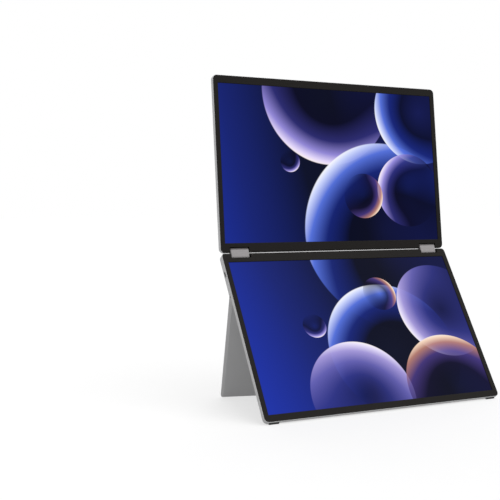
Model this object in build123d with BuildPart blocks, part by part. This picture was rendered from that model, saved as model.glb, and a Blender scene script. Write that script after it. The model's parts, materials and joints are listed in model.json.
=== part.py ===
"""Dual-screen portable monitor: two hinged screens standing on a slanted fold-out flap.

Millimetres. +Z is up, the screens face -Y and +X is to the right seen from the front.
The origin lies on the surface it stands on, in the middle of the object's width and depth.
"""

import os
from math import atan, cos, degrees, hypot, pi, radians, sin, tan

from build123d import *

# Posture of the stored pose, in degrees back from upright
lower_lean = 33.2
upper_lean = 6.1

# Screen panels
active_width = 301.55
active_height = 188.47
bezel_side = 5.5
bezel_far = 8.5
bezel_hinge = 10.6
lower_display_drop = 1.0
rim = 1.0
front_lip = 0.35
corner_radius = 5.5
upper_thickness = 6.0
lower_thickness = 8.4
upper_floor = 1.0
lower_floor = 1.2
back_bevel = 0.9
rim_bevel = 0.3
foot_edge_round = 4.7

# Layers behind the front face
bezel_thickness = 1.0
bezel_gap = 0.05
opening_bevel = 0.5
display_thickness = 1.0
display_border = 2.5
plate_thickness = 0.4
plate_border = 3.0
post_radius = 3.0
lower_post_columns = 4
upper_post_columns = 5
post_rows = 4
side_post_pitch = 37.0
side_post_from_side = 28.8
side_post_lift = 48.0

# Geared hinge
gear_module = 0.27
gear_teeth = 10
gear_width = 4.0
gear_side_gap = 0.3
tooth_addendum = 0.8
tooth_dedendum = 1.15
tooth_tip_share = 0.18
tooth_pitch_share = 0.38
tooth_root_share = 0.44
upper_axis_depth = 2.8
lower_axis_depth = 4.4
axis_from_edge = 3.4
upper_hinge_front_round = 2.4
upper_hinge_back_round = 3.0
lower_hinge_front_round = 3.0
lower_hinge_back_round = 4.0
knuckle_width = 23.2
knuckle_from_side = 24.3
knuckle_radius = 2.8
knuckle_bevel = 0.7
knuckle_bore_radius = 1.85
notch_side_gap = 0.8
notch_end_gap = 0.7
notch_wall = 1.0
shaft_radius = 1.2
shaft_wall_gap = 0.3
spigot_radius = 0.7
spigot_length = 2.4
idler_pin_radius = 0.45
idler_pin_length = 0.9
running_gap = 0.05
seat_gap = 0.03
cable_pocket_depth = 4.0
cable_pocket_radius = 1.6
cable_pocket_gap = 0.3
knuckle_web = 3.4
gear_plate_thickness = 1.0
cap_thickness = 2.0
bracket_length = 22.0
bracket_barrel_radius = 1.75
bracket_plate_thickness = 1.1
bracket_reach = 10.5
bracket_wall_gap = 0.3
bracket_web_start = 0.7
bracket_web = 2.5
bracket_screw_offset = 7.8

# Screws
screw_radius = 0.9
screw_head_radius = 1.7
screw_head_height = 0.7
screw_bite = 0.6
screw_hole_gap = 0.1

# Fold-out stand
stand_thickness = 3.0
stand_slant = 14.75
stand_hinge_from_top = 53.6
stand_from_side = 22.8
stand_corner_radius = 9.0
recess_corner_radius = 1.0
stand_foot_corner = 3.0
stand_foot_round = 1.1
stand_gap = 0.35
stand_side_gap = 0.6
stand_floor_gap = 0.3
stand_side_bevel = 3.4
stand_side_bevel_depth = 1.2
recess_wall = 0.8
liner_thickness = 0.3
liner_inset = 0.6
lug_length = 24.0
lug_side_gap = 0.3
lug_from_ends = 45.0
stand_pin_radius = 0.75
stand_pin_grip = 12.0
stand_pin_inset = 10.0
plug_head_radius = 1.1
plug_head_thickness = 0.8
plug_shank_length = 4.0
plug_inset = 0.35
bumper_radius = 3.0
bumper_height = 0.2
bumper_from_edges = 9.0

# Rubber feet under the bottom edge
foot_length = 12.0
foot_height = 1.0
foot_front = 2.6
foot_back = 4.6
foot_from_side = 5.8
foot_bevel = 0.5

# Ports and controls, placed from the lower panel's top edge and its front face
port_depth = 4.2
usb_from_top = 17.6
usb_pitch = 17.0
usb_count = 3
usb_shell_width = 8.94
usb_shell_height = 3.16
usb_shell_length = 7.3
usb_tongue_width = 6.7
usb_tongue_height = 0.7
usb_tongue_length = 5.4
hdmi_from_top = 69.4
hdmi_shell_width = 11.2
hdmi_shell_height = 3.0
hdmi_shell_bevel = 0.9
hdmi_shell_length = 7.5
hdmi_tongue_width = 8.6
hdmi_tongue_height = 0.8
hdmi_tongue_length = 5.0
port_shell_wall = 0.3
port_inset = 0.4
port_gap = 0.1
edge_cut_depth = 1.5
control_depth = 3.0
light_from_top = 93.6
light_pitch = 4.5
light_count = 2
light_radius = 0.6
light_length = 3.2
rocker_from_top = 111.5
rocker_length = 10.0
rocker_rib_radius = 0.5
power_from_top = 127.1
power_length = 10.5
key_width = 2.6
key_proud = 0.4
key_gap = 0.25
key_bevel = 0.2
key_flange_overlap = 0.5
key_flange_thickness = 0.8
power_flange_gap = 0.1
rocker_flange_gap = 0.5
power_travel = 0.4
switch_gap = 0.15
switch_length = 5.0
switch_width = 3.0
lock_from_top = 26.6
lock_depth = 4.2
lock_slot_length = 7.0
lock_slot_width = 3.0
lock_plate_length = 12.0
lock_plate_width = 4.4
lock_plate_thickness = 1.0

# Tripod socket in the lower back
tripod_from_top = 52.6
tripod_bore_radius = 2.55
tripod_insert_radius = 4.0
tripod_insert_length = 4.8
tripod_insert_inset = 0.2
tripod_boss_radius = 6.0
twist_pin_rise = 7.0
twist_pin_radius = 1.2
twist_pin_depth = 0.8

# Boards and cable
board_thickness = 1.0
board_width = 75.4
board_side_gap = 2.9
board_recess_gap = 2.2
board_from_top = 14.6
board_leg_width = 16.0
board_leg_past_key = 8.5
socket_tab_width = 14.0
socket_tab_height = 6.2
board_screw_inset = 5.5
board_screw_port_inset = 16.0
upper_board_screw_inset = 4.0
upper_board_screw_lift = 6.0
upper_board_thickness = 0.8
upper_board_width = 23.0
upper_board_height = 53.8
upper_board_from_side = 9.3
upper_board_notch_gap = 0.3
upper_board_lift = 0.2
chip_size = 12.0
chip_corner = 0.3
chip_height = 1.2
chip_pitch = 24.0
chip_screw_gap = 0.8
cable_radius = 0.7
cable_bend = 1.8
cable_turn = 2.0
cable_hole_gap = 0.4
cable_end_gap = 0.05
cable_reach = 4.7
cable_run = 6.6
socket_length = 5.0
socket_width = 3.0
socket_from_knuckle = 3.6
ribbon_width = 26.0
ribbon_thickness = 0.2
ribbon_tail = 7.0
ribbon_window_gap = 1.0
ribbon_socket_width = 4.0
ribbon_socket_height = 0.9
lower_ribbon_from_side = 22.0

# Sizes that follow from those above
panel_width = active_width + 2 * (bezel_side + rim)
panel_height = active_height + bezel_far + bezel_hinge + 2 * rim
half_width = panel_width / 2
layers = bezel_thickness + display_thickness + plate_thickness
gear_radius = gear_module * gear_teeth / 2
axis_spacing = 6 * gear_radius
link_lean = (lower_lean + upper_lean) / 2
notch_depth = axis_from_edge + knuckle_radius + notch_end_gap
notch_width = knuckle_width + 2 * notch_side_gap
knuckle_centre = half_width - knuckle_from_side
knuckle_outer = knuckle_centre + knuckle_width / 2
knuckle_inner = knuckle_centre - knuckle_width / 2
notch_outer = knuckle_centre + notch_width / 2
notch_inner = knuckle_centre - notch_width / 2
gear_start = knuckle_outer - cable_pocket_depth - knuckle_web
gear_space = gear_width + 2 * gear_side_gap
plate_start = gear_start - gear_space
sleeve_start = plate_start - gear_plate_thickness
cap_start = knuckle_inner + cap_thickness
bracket_start = notch_inner - notch_wall - bracket_wall_gap
bracket_end = bracket_start - bracket_length
usb_heights = [panel_height - usb_from_top - step * usb_pitch for step in range(usb_count)]
hdmi_height = panel_height - hdmi_from_top
light_heights = [panel_height - light_from_top - step * light_pitch for step in range(light_count)]
rocker_height = panel_height - rocker_from_top
power_height = panel_height - power_from_top
lock_height = panel_height - lock_from_top
tripod_height = panel_height - tripod_from_top
cable_corner = knuckle_outer + cable_reach
socket_side = knuckle_outer - socket_from_knuckle

# Stand: its open angle sets the flap's foot level on the floor beside the rubber feet
stand_hinge_height = panel_height - stand_hinge_from_top
stand_short_side = half_width - stand_from_side
stand_radius = stand_thickness / 2
slant_cos = cos(radians(stand_slant))
slant_sin = sin(radians(stand_slant))
slant_tan = tan(radians(stand_slant))
lean_cos = cos(radians(lower_lean))
lean_sin = sin(radians(lower_lean))
stand_open = 2 * degrees(atan(tan(radians(lower_lean)) / slant_cos))
lower_lift = foot_height * lean_cos + foot_back * lean_sin
stand_axis_depth = lower_thickness - stand_radius
foot_line_lift = stand_foot_round + (stand_radius - stand_foot_round) * lean_sin
foot_line = (foot_line_lift - lower_lift + stand_axis_depth * lean_sin) / lean_cos
stand_bottom = foot_line - stand_foot_round
recess_floor = lower_thickness - stand_thickness - stand_floor_gap
liner_floor = recess_floor - liner_thickness
stand_axis_length = (half_width + stand_short_side) / slant_cos
lug_middles = (lug_from_ends, stand_axis_length - lug_from_ends)


def hinge_line(across):
    """Height of the stand's hinge axis up the lower panel, at a place across it."""
    return stand_hinge_height - (across + half_width) * slant_tan


# Boards: the main one fills the corner between the stand's recess and the ports
recess_wall_rise = (stand_radius + stand_gap + recess_wall) / slant_cos
board_front = port_depth + usb_shell_height / 2
board_back = board_front + board_thickness
hdmi_depth = board_front - hdmi_shell_height / 2
board_right = half_width - rim - board_side_gap
board_left = board_right - board_width
board_bottom = hinge_line(board_left) + recess_wall_rise + board_recess_gap
board_top = panel_height - board_from_top
board_leg_bottom = power_height - board_leg_past_key
chip_row_height = board_bottom + board_screw_inset + screw_head_radius + chip_screw_gap + chip_size / 2
upper_board_front = upper_thickness - upper_floor - upper_board_lift - upper_board_thickness
upper_board_right = half_width - upper_board_from_side
upper_board_left = upper_board_right - upper_board_width
upper_board_bottom = notch_depth + notch_wall + upper_board_notch_gap
upper_board_top = upper_board_bottom + upper_board_height
lower_ribbon_spot = (board_left + lower_ribbon_from_side, (board_bottom + board_top) / 2)
upper_ribbon_spot = (
    (upper_board_left + upper_board_right) / 2,
    (upper_board_bottom + upper_board_top) / 2,
)


def flap_point(across, height):
    """A point of the shut flap, from panel directions to the flap's own ones."""
    along = across + half_width
    rise = height - stand_hinge_height
    return (along * slant_cos - rise * slant_sin, along * slant_sin + rise * slant_cos)


def leaning_plane(lean, origin):
    """Front face plane: x to the right, y up the panel, z out of the screen."""
    facing = (0, -cos(radians(lean)), sin(radians(lean)))
    return Plane(origin=origin, x_dir=(1, 0, 0), z_dir=facing)


def side_plane(base, across):
    """Plane square to X at a place across: x up the panel, y out of the screen."""
    return Plane(origin=base.origin + Vector(across, 0, 0), x_dir=base.y_dir, z_dir=(1, 0, 0))


def at_depth(base, depth):
    """The panel's front plane moved back into the panel."""
    return base.offset(-depth)


def stand_planes(panel):
    """The flap's own plane shut and open: x along its hinge axis, z towards the screen."""
    along = panel.x_dir * slant_cos - panel.y_dir * slant_sin
    start = panel.from_local_coords(Vector(-half_width, stand_hinge_height, -stand_axis_depth))
    shut = Plane(origin=start, x_dir=along, z_dir=panel.z_dir)
    turn = radians(stand_open)
    facing = shut.z_dir * cos(turn) - shut.y_dir * sin(turn)
    return shut, Plane(origin=start, x_dir=along, z_dir=facing)


# The object's depth runs from the bottom front edge to the flap's far corner
trial_open = stand_planes(leaning_plane(lower_lean, (0, 0, lower_lift)))[1]
round_along, round_rise = flap_point(stand_foot_corner - half_width, stand_bottom + stand_foot_corner)
far_corner = trial_open.from_local_coords(Vector(round_along, round_rise, -stand_radius))
front_edge = rim_bevel * min(lean_sin, lean_cos)
object_depth = far_corner.Y + stand_foot_corner * hypot(trial_open.x_dir.Y, trial_open.y_dir.Y) - front_edge

LOWER = leaning_plane(lower_lean, (0, -front_edge - object_depth / 2, lower_lift))
STAND_SHUT, STAND = stand_planes(LOWER)
lower_axis = LOWER.from_local_coords(Vector(0, panel_height - axis_from_edge, -lower_axis_depth))
LINK = leaning_plane(link_lean, lower_axis)
upper_axis = LINK.from_local_coords(Vector(0, axis_spacing, 0))
UPPER_AT_AXIS = leaning_plane(upper_lean, upper_axis)
UPPER = leaning_plane(
    upper_lean,
    UPPER_AT_AXIS.from_local_coords(Vector(0, -axis_from_edge, upper_axis_depth)),
)

os.makedirs("parts", exist_ok=True)


def keep(builder, name):
    """Name a finished piece and write it."""
    builder.part.label = name
    export_step(builder.part, f"parts/{name}.step")


# Screen panels


def panel_block(base, depth, inset, rounds, bevel=0.0):
    """Block of a panel's outline. The rounds run bottom front, top front, top back, bottom back."""
    low = inset
    high = panel_height - inset
    with BuildPart() as block:
        with BuildSketch(base):
            with Locations((0, panel_height / 2)):
                RectangleRounded(panel_width - 2 * inset, high - low, corner_radius - inset)
        extrude(amount=-depth)
        if bevel:
            faces = block.faces().sort_by(Axis(base.origin, base.z_dir))
            chamfer(faces[0].edges(), bevel)
            chamfer(faces[-1].edges(), rim_bevel)
        with BuildSketch(side_plane(base, -half_width)):
            with BuildLine():
                corners = ((low, 0), (high, 0), (high, -depth), (low, -depth))
                FilletPolyline(*corners, radius=rounds, close=True)
            make_face()
        extrude(amount=panel_width, mode=Mode.INTERSECT)
    return block.part


def notch_rectangles(hinge_edge, inward, grow):
    """Outlines of the two hinge notches in the edge, grown by a wall."""
    middle = hinge_edge + inward * (notch_depth + grow) / 2
    with Locations((-knuckle_centre, middle), (knuckle_centre, middle)):
        Rectangle(notch_width + 2 * grow, notch_depth + grow)


def cut_hinge_openings(base, axis_height, axis_depth):
    """Shaft holes beside both notches and the cable's hole beside the right one."""
    for side in (-1, 1):
        start = notch_inner - notch_wall if side > 0 else -notch_inner
        with BuildSketch(side_plane(base, start)) as shaft_hole:
            with Locations((axis_height, -axis_depth)):
                Circle(shaft_radius + shaft_wall_gap)
        extrude(shaft_hole.sketch, amount=notch_wall, mode=Mode.SUBTRACT)
    with BuildSketch(side_plane(base, notch_outer)) as cable_hole:
        with Locations((axis_height, -axis_depth)):
            Circle(cable_radius + cable_hole_gap)
    extrude(cable_hole.sketch, amount=notch_wall, mode=Mode.SUBTRACT)


def bracket_screw_places(axis_height, inward):
    """Two screws through each hinge bracket's plate, both sides."""
    height = axis_height + inward * bracket_screw_offset
    step = bracket_length / 4
    middle = (bracket_start + bracket_end) / 2
    return [(side * (middle + way * step), height) for side in (-1, 1) for way in (-1, 1)]


lower_axis_height = panel_height - axis_from_edge
upper_axis_height = axis_from_edge
lower_screw_places = bracket_screw_places(lower_axis_height, -1)
upper_screw_places = bracket_screw_places(upper_axis_height, 1)
board_screw_places = [
    (across, height)
    for across in (board_left + board_screw_inset, board_right - board_screw_port_inset)
    for height in (board_bottom + board_screw_inset, board_top - board_screw_inset)
]
upper_board_screw_places = [
    (upper_board_left + upper_board_screw_inset, upper_board_top - upper_board_screw_inset),
    (upper_board_right - upper_board_screw_inset, upper_board_top - upper_board_screw_inset),
    (upper_board_right - upper_board_screw_inset, upper_board_bottom + upper_board_screw_lift),
]
lower_floor_depth = lower_thickness - lower_floor
upper_floor_depth = upper_thickness - upper_floor


def hdmi_corners(shrink):
    """Port outline with its two slanted corners towards the screen's back."""
    across = hdmi_shell_width / 2 - shrink
    high = hdmi_shell_height / 2 - shrink
    slant = hdmi_shell_bevel
    return (
        (across, high), (-across, high), (-across, slant - high),
        (slant - across, -high), (across - slant, -high), (across, slant - high),
    )


def screw_holes(base, depth, places, bite):
    """Blind holes for screw ends."""
    with BuildSketch(at_depth(base, depth)) as holes:
        with Locations(*places):
            Circle(screw_radius)
    extrude(holes.sketch, amount=-bite, mode=Mode.SUBTRACT)


# Lower back cover: tray with the stand's recess, hinge notches, ports and tripod boss

with BuildPart() as lower_hollow:
    hollow_rounds = (0, 0, lower_hinge_back_round - rim, foot_edge_round - rim)
    add(panel_block(LOWER, lower_floor_depth, rim, hollow_rounds))
    with BuildSketch(at_depth(LOWER, bezel_thickness)):
        notch_rectangles(panel_height, -1, notch_wall)
    extrude(amount=-lower_thickness, mode=Mode.SUBTRACT)
    with BuildSketch(at_depth(LOWER, liner_floor - recess_wall)):
        wall_side = stand_short_side + stand_side_gap + recess_wall
        with BuildLine():
            Polyline(
                (-half_width, hinge_line(-half_width) + recess_wall_rise),
                (wall_side, hinge_line(wall_side) + recess_wall_rise),
                (wall_side, 0),
                (-half_width, 0),
                close=True,
            )
        make_face()
    extrude(amount=-lower_thickness, mode=Mode.SUBTRACT)
    with BuildSketch(at_depth(LOWER, layers)):
        post_pitch = (board_left + half_width) / lower_post_columns
        with Locations(((board_left - half_width) / 2, panel_height / 2)):
            with GridLocations(post_pitch, panel_height / post_rows, lower_post_columns, post_rows):
                Circle(post_radius)
        with Locations((half_width - side_post_from_side, side_post_lift)):
            with GridLocations(side_post_pitch, side_post_pitch, 2, 2):
                Circle(post_radius)
        with Locations((0, tripod_height)):
            Circle(tripod_boss_radius)
    extrude(amount=-lower_thickness, mode=Mode.SUBTRACT)
    with BuildSketch(at_depth(LOWER, board_back)):
        with Locations(*board_screw_places):
            Circle(post_radius)
    extrude(amount=-lower_thickness, mode=Mode.SUBTRACT)

with BuildPart() as lower_back_cover:
    lower_rounds = (rim_bevel, lower_hinge_front_round, lower_hinge_back_round, foot_edge_round)
    add(panel_block(LOWER, lower_thickness, 0, lower_rounds, back_bevel))
    add(lower_hollow.part, mode=Mode.SUBTRACT)
    # Hinge notches, open to the top edge
    with BuildSketch(LOWER):
        notch_rectangles(panel_height, -1, 0)
    extrude(amount=-lower_thickness, mode=Mode.SUBTRACT)
    with BuildSketch(LOWER):
        with Locations((0, panel_height / 2)):
            RectangleRounded(
                panel_width - 2 * front_lip, panel_height - 2 * front_lip, corner_radius - front_lip
            )
    extrude(amount=-bezel_thickness, mode=Mode.SUBTRACT)
    cut_hinge_openings(LOWER, lower_axis_height, lower_axis_depth)
    # Recess that the shut flap lies in, open to the left and bottom edges
    with BuildSketch(at_depth(LOWER, liner_floor)):
        edge_rise = (stand_radius + stand_gap) / slant_cos
        recess_side = stand_short_side + stand_side_gap
        with BuildLine():
            FilletPolyline(
                (-panel_width, hinge_line(-panel_width) + edge_rise),
                (recess_side, hinge_line(recess_side) + edge_rise),
                (recess_side, -panel_height),
                (-panel_width, -panel_height),
                radius=(0, recess_corner_radius, 0, 0),
                close=True,
            )
        make_face()
    extrude(amount=-lower_thickness, mode=Mode.SUBTRACT)
    # Lugs that carry the flap's hinge pins
    for lug_middle in lug_middles:
        lug_origin = STAND_SHUT.from_local_coords(Vector(lug_middle - lug_length / 2, 0, 0))
        with BuildSketch(Plane(lug_origin, x_dir=STAND_SHUT.y_dir, z_dir=STAND_SHUT.x_dir)):
            Circle(stand_radius)
            with Locations(((stand_radius + stand_gap + recess_wall / 2) / 2, 0)):
                Rectangle(stand_radius + stand_gap + recess_wall / 2, stand_thickness)
            Circle(stand_pin_radius + seat_gap, mode=Mode.SUBTRACT)
        extrude(amount=lug_length)
    # Tripod socket, with the hole for an anti-twist pin above it
    with BuildSketch(at_depth(LOWER, layers)):
        with Locations((0, tripod_height)):
            Circle(tripod_insert_radius + seat_gap)
    extrude(amount=-lower_thickness, mode=Mode.SUBTRACT)
    with BuildSketch(at_depth(LOWER, lower_thickness - twist_pin_depth)):
        with Locations((0, tripod_height + twist_pin_rise)):
            Circle(twist_pin_radius)
    extrude(amount=-lower_thickness, mode=Mode.SUBTRACT)
    # Openings for ports, lights and keys in the right edge
    with BuildSketch(side_plane(LOWER, half_width)):
        with Locations(*[(height, -port_depth) for height in usb_heights]):
            SlotOverall(usb_shell_width + 2 * port_gap, usb_shell_height + 2 * port_gap)
        with Locations((hdmi_height, -hdmi_depth)):
            Polygon(*hdmi_corners(-port_gap), align=None)
        with Locations(*[(height, -control_depth) for height in light_heights]):
            Circle(light_radius + seat_gap)
        with Locations((rocker_height, -control_depth)):
            SlotOverall(rocker_length + 2 * key_gap, key_width + 2 * key_gap)
        with Locations((power_height, -control_depth)):
            SlotOverall(power_length + 2 * key_gap, key_width + 2 * key_gap)
    extrude(amount=-edge_cut_depth, mode=Mode.SUBTRACT)
    # Security lock slot in the left edge
    with BuildSketch(side_plane(LOWER, -half_width)):
        with Locations((lock_height, -lock_depth)):
            RectangleRounded(lock_slot_length, lock_slot_width, lock_slot_width / 4)
    extrude(amount=edge_cut_depth, mode=Mode.SUBTRACT)
    screw_holes(LOWER, lower_floor_depth, lower_screw_places, screw_bite)
    screw_holes(LOWER, board_back, board_screw_places, screw_bite)
keep(lower_back_cover, "lower_back_cover")

# Upper back cover: tray with hinge notches in its bottom edge

with BuildPart() as upper_hollow:
    hollow_rounds = (0, 0, 0, upper_hinge_back_round - rim)
    add(panel_block(UPPER, upper_floor_depth, rim, hollow_rounds))
    with BuildSketch(at_depth(UPPER, bezel_thickness)):
        notch_rectangles(0, 1, notch_wall)
    extrude(amount=-upper_thickness, mode=Mode.SUBTRACT)
    with BuildSketch(at_depth(UPPER, layers)):
        post_pitch = (upper_board_left + half_width) / upper_post_columns
        post_zone = panel_height - upper_board_bottom
        with Locations(((upper_board_left - half_width) / 2, upper_board_bottom + post_zone / 2)):
            with GridLocations(post_pitch, post_zone / post_rows, upper_post_columns, post_rows):
                Circle(post_radius)
    extrude(amount=-upper_thickness, mode=Mode.SUBTRACT)
    with BuildSketch(at_depth(UPPER, upper_board_front + upper_board_thickness)):
        with Locations(*upper_board_screw_places):
            Circle(post_radius)
    extrude(amount=-upper_thickness, mode=Mode.SUBTRACT)

with BuildPart() as upper_back_cover:
    upper_rounds = (upper_hinge_front_round, rim_bevel, back_bevel, upper_hinge_back_round)
    add(panel_block(UPPER, upper_thickness, 0, upper_rounds, back_bevel))
    add(upper_hollow.part, mode=Mode.SUBTRACT)
    with BuildSketch(UPPER):
        notch_rectangles(0, 1, 0)
    extrude(amount=-upper_thickness, mode=Mode.SUBTRACT)
    with BuildSketch(UPPER):
        with Locations((0, panel_height / 2)):
            RectangleRounded(
                panel_width - 2 * front_lip, panel_height - 2 * front_lip, corner_radius - front_lip
            )
    extrude(amount=-bezel_thickness, mode=Mode.SUBTRACT)
    cut_hinge_openings(UPPER, upper_axis_height, upper_axis_depth)
    screw_holes(UPPER, upper_floor_depth, upper_screw_places, screw_bite)
    screw_holes(UPPER, upper_board_front + upper_board_thickness, upper_board_screw_places, screw_bite)
keep(upper_back_cover, "upper_back_cover")

# Bezels, displays and their back plates

lower_active_middle = rim + bezel_far - lower_display_drop + active_height / 2
upper_active_middle = rim + bezel_hinge + active_height / 2
front_rounds = {
    "lower": (rim_bevel, lower_hinge_front_round, 0, 0),
    "upper": (upper_hinge_front_round, rim_bevel, 0, 0),
}
screens = (
    ("lower", LOWER, lower_active_middle, panel_height, -1, lower_ribbon_spot),
    ("upper", UPPER, upper_active_middle, 0, 1, upper_ribbon_spot),
)
for screen, base, active_middle, hinge_edge, inward, ribbon_spot in screens:
    with BuildPart() as bezel:
        with BuildSketch(base):
            with Locations((0, panel_height / 2)):
                fit = front_lip + bezel_gap
                RectangleRounded(panel_width - 2 * fit, panel_height - 2 * fit, corner_radius - fit)
        extrude(amount=-bezel_thickness)
        with BuildSketch(base):
            with Locations((0, active_middle)):
                Rectangle(active_width + 2 * opening_bevel, active_height + 2 * opening_bevel)
        extrude(amount=-opening_bevel, taper=45, mode=Mode.SUBTRACT)
        with BuildSketch(base):
            with Locations((0, active_middle)):
                Rectangle(active_width, active_height)
        extrude(amount=-bezel_thickness, mode=Mode.SUBTRACT)
        with BuildSketch(side_plane(base, -half_width)):
            with BuildLine():
                corners = (
                    (0, 0), (panel_height, 0),
                    (panel_height, -lower_thickness), (0, -lower_thickness),
                )
                FilletPolyline(*corners, radius=front_rounds[screen], close=True)
            make_face()
        extrude(amount=panel_width, mode=Mode.INTERSECT)
        with BuildSketch(base):
            notch_rectangles(hinge_edge, inward, 0)
        extrude(amount=-bezel_thickness, mode=Mode.SUBTRACT)
    keep(bezel, f"{screen}_bezel")

    with BuildPart() as display:
        with BuildSketch(at_depth(base, bezel_thickness)):
            with Locations((0, active_middle)):
                Rectangle(active_width + 2 * display_border, active_height + 2 * display_border)
        extrude(amount=-display_thickness)
    keep(display, f"{screen}_display")

    with BuildPart() as plate:
        with BuildSketch(at_depth(base, bezel_thickness + display_thickness)):
            with Locations((0, active_middle)):
                border = display_border - plate_border
                Rectangle(active_width + 2 * border, active_height + 2 * border)
            with Locations(ribbon_spot):
                Rectangle(ribbon_tail + 2 * ribbon_window_gap, ribbon_width + 2 * ribbon_window_gap,
                          mode=Mode.SUBTRACT)
        extrude(amount=-plate_thickness)
    keep(plate, f"{screen}_display_plate")

# Boards, ribbons and sockets

lower_cable_height = lower_axis_height - cable_run
upper_cable_height = upper_axis_height + cable_run

with BuildPart() as main_board:
    with BuildSketch(at_depth(LOWER, board_front)):
        with Locations(((board_left + board_right) / 2, (board_bottom + board_top) / 2)):
            Rectangle(board_right - board_left, board_top - board_bottom)
        with Locations((socket_side - socket_length / 2, board_top)):
            Rectangle(socket_tab_width, socket_tab_height, align=(Align.CENTER, Align.MIN))
        with Locations((board_right, board_bottom)):
            Rectangle(board_leg_width, board_bottom - board_leg_bottom, align=(Align.MAX, Align.MAX))
        with Locations(*board_screw_places):
            Circle(screw_radius + screw_hole_gap, mode=Mode.SUBTRACT)
    extrude(amount=-board_thickness)
keep(main_board, "main_board")

with BuildPart() as controller_chips:
    with BuildSketch(at_depth(LOWER, board_front)):
        with Locations(((board_left + board_right) / 2, chip_row_height)):
            with GridLocations(chip_pitch, chip_pitch, 2, 1):
                RectangleRounded(chip_size, chip_size, chip_corner)
    extrude(amount=chip_height)
keep(controller_chips, "controller_chips")

with BuildPart() as upper_driver_board:
    with BuildSketch(at_depth(UPPER, upper_board_front)):
        with Locations((upper_board_left, upper_board_bottom)):
            Rectangle(
                upper_board_right - upper_board_left,
                upper_board_top - upper_board_bottom,
                align=(Align.MIN, Align.MIN),
            )
        with Locations(*upper_board_screw_places):
            Circle(screw_radius + screw_hole_gap, mode=Mode.SUBTRACT)
    extrude(amount=-upper_board_thickness)
keep(upper_driver_board, "upper_driver_board")

display_back = bezel_thickness + display_thickness
board_sides = (
    ("lower", LOWER, lower_ribbon_spot, board_front, lower_cable_height, lower_axis_depth),
    ("upper", UPPER, upper_ribbon_spot, upper_board_front, upper_cable_height, upper_axis_depth),
)
for screen, base, ribbon_spot, board_face, cable_height, cable_depth in board_sides:
    socket_face = board_face - ribbon_socket_height
    leg_across = ribbon_spot[0] + (ribbon_tail - ribbon_thickness) / 2
    with BuildPart() as display_ribbon:
        with BuildSketch(at_depth(base, display_back)):
            with Locations(ribbon_spot):
                Rectangle(ribbon_tail, ribbon_width)
        extrude(amount=-ribbon_thickness)
        with BuildSketch(at_depth(base, display_back)):
            with Locations((leg_across, ribbon_spot[1])):
                Rectangle(ribbon_thickness, ribbon_width)
        extrude(amount=display_back - socket_face)
    keep(display_ribbon, f"{screen}_display_ribbon")

    with BuildPart() as board_sockets:
        with BuildSketch(at_depth(base, board_face)):
            with Locations((leg_across, ribbon_spot[1])):
                Rectangle(ribbon_socket_width, ribbon_width)
        extrude(amount=ribbon_socket_height)
        with BuildSketch(at_depth(base, board_face)):
            with Locations((socket_side, cable_height)):
                Rectangle(socket_length, socket_width, align=(Align.MAX, Align.CENTER))
        extrude(amount=board_face - cable_depth + cable_radius)
    keep(board_sockets, f"{screen}_board_sockets")

# Screws, each kind in one node

screw_sets = (
    ("lower_bracket_screws", LOWER, lower_floor_depth, bracket_plate_thickness, lower_screw_places),
    ("upper_bracket_screws", UPPER, upper_floor_depth, bracket_plate_thickness, upper_screw_places),
    ("main_board_screws", LOWER, board_back, board_thickness, board_screw_places),
    (
        "upper_board_screws", UPPER, upper_board_front + upper_board_thickness,
        upper_board_thickness, upper_board_screw_places,
    ),
)
for set_name, base, seat_depth, clamped, places in screw_sets:
    with BuildPart() as screws:
        with BuildSketch(at_depth(base, seat_depth - clamped)):
            with Locations(*places):
                Circle(screw_head_radius)
        extrude(amount=screw_head_height)
        with BuildSketch(at_depth(base, seat_depth - clamped)):
            with Locations(*places):
                Circle(screw_radius - seat_gap)
        extrude(amount=-(clamped + screw_bite - seat_gap))
    keep(screws, set_name)

# Ports in the right edge

port_face = side_plane(LOWER, half_width - port_inset)
usb_back = side_plane(LOWER, half_width - port_inset - usb_shell_length)
hdmi_back = side_plane(LOWER, half_width - port_inset - hdmi_shell_length)
usb_places = [(height, -port_depth) for height in usb_heights]

with BuildPart() as usb_c_shells:
    with BuildSketch(port_face):
        with Locations(*usb_places):
            SlotOverall(usb_shell_width, usb_shell_height)
            SlotOverall(
                usb_shell_width - 2 * port_shell_wall,
                usb_shell_height - 2 * port_shell_wall,
                mode=Mode.SUBTRACT,
            )
    extrude(amount=-usb_shell_length)
    with BuildSketch(usb_back):
        with Locations(*usb_places):
            SlotOverall(usb_shell_width, usb_shell_height)
    extrude(amount=port_shell_wall)
keep(usb_c_shells, "usb_c_shells")

with BuildPart() as usb_c_tongues:
    with BuildSketch(usb_back.offset(port_shell_wall)):
        with Locations(*usb_places):
            Rectangle(usb_tongue_width, usb_tongue_height)
    extrude(amount=usb_tongue_length)
keep(usb_c_tongues, "usb_c_tongues")

with BuildPart() as mini_hdmi_shell:
    with BuildSketch(port_face):
        with Locations((hdmi_height, -hdmi_depth)):
            Polygon(*hdmi_corners(0), align=None)
            Polygon(*hdmi_corners(port_shell_wall), align=None, mode=Mode.SUBTRACT)
    extrude(amount=-hdmi_shell_length)
    with BuildSketch(hdmi_back):
        with Locations((hdmi_height, -hdmi_depth)):
            Polygon(*hdmi_corners(0), align=None)
    extrude(amount=port_shell_wall)
keep(mini_hdmi_shell, "mini_hdmi_shell")

with BuildPart() as mini_hdmi_tongue:
    with BuildSketch(hdmi_back.offset(port_shell_wall)):
        with Locations((hdmi_height, -hdmi_depth)):
            Rectangle(hdmi_tongue_width, hdmi_tongue_height)
    extrude(amount=hdmi_tongue_length)
keep(mini_hdmi_tongue, "mini_hdmi_tongue")

# Lights, keys and their switches

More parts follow.
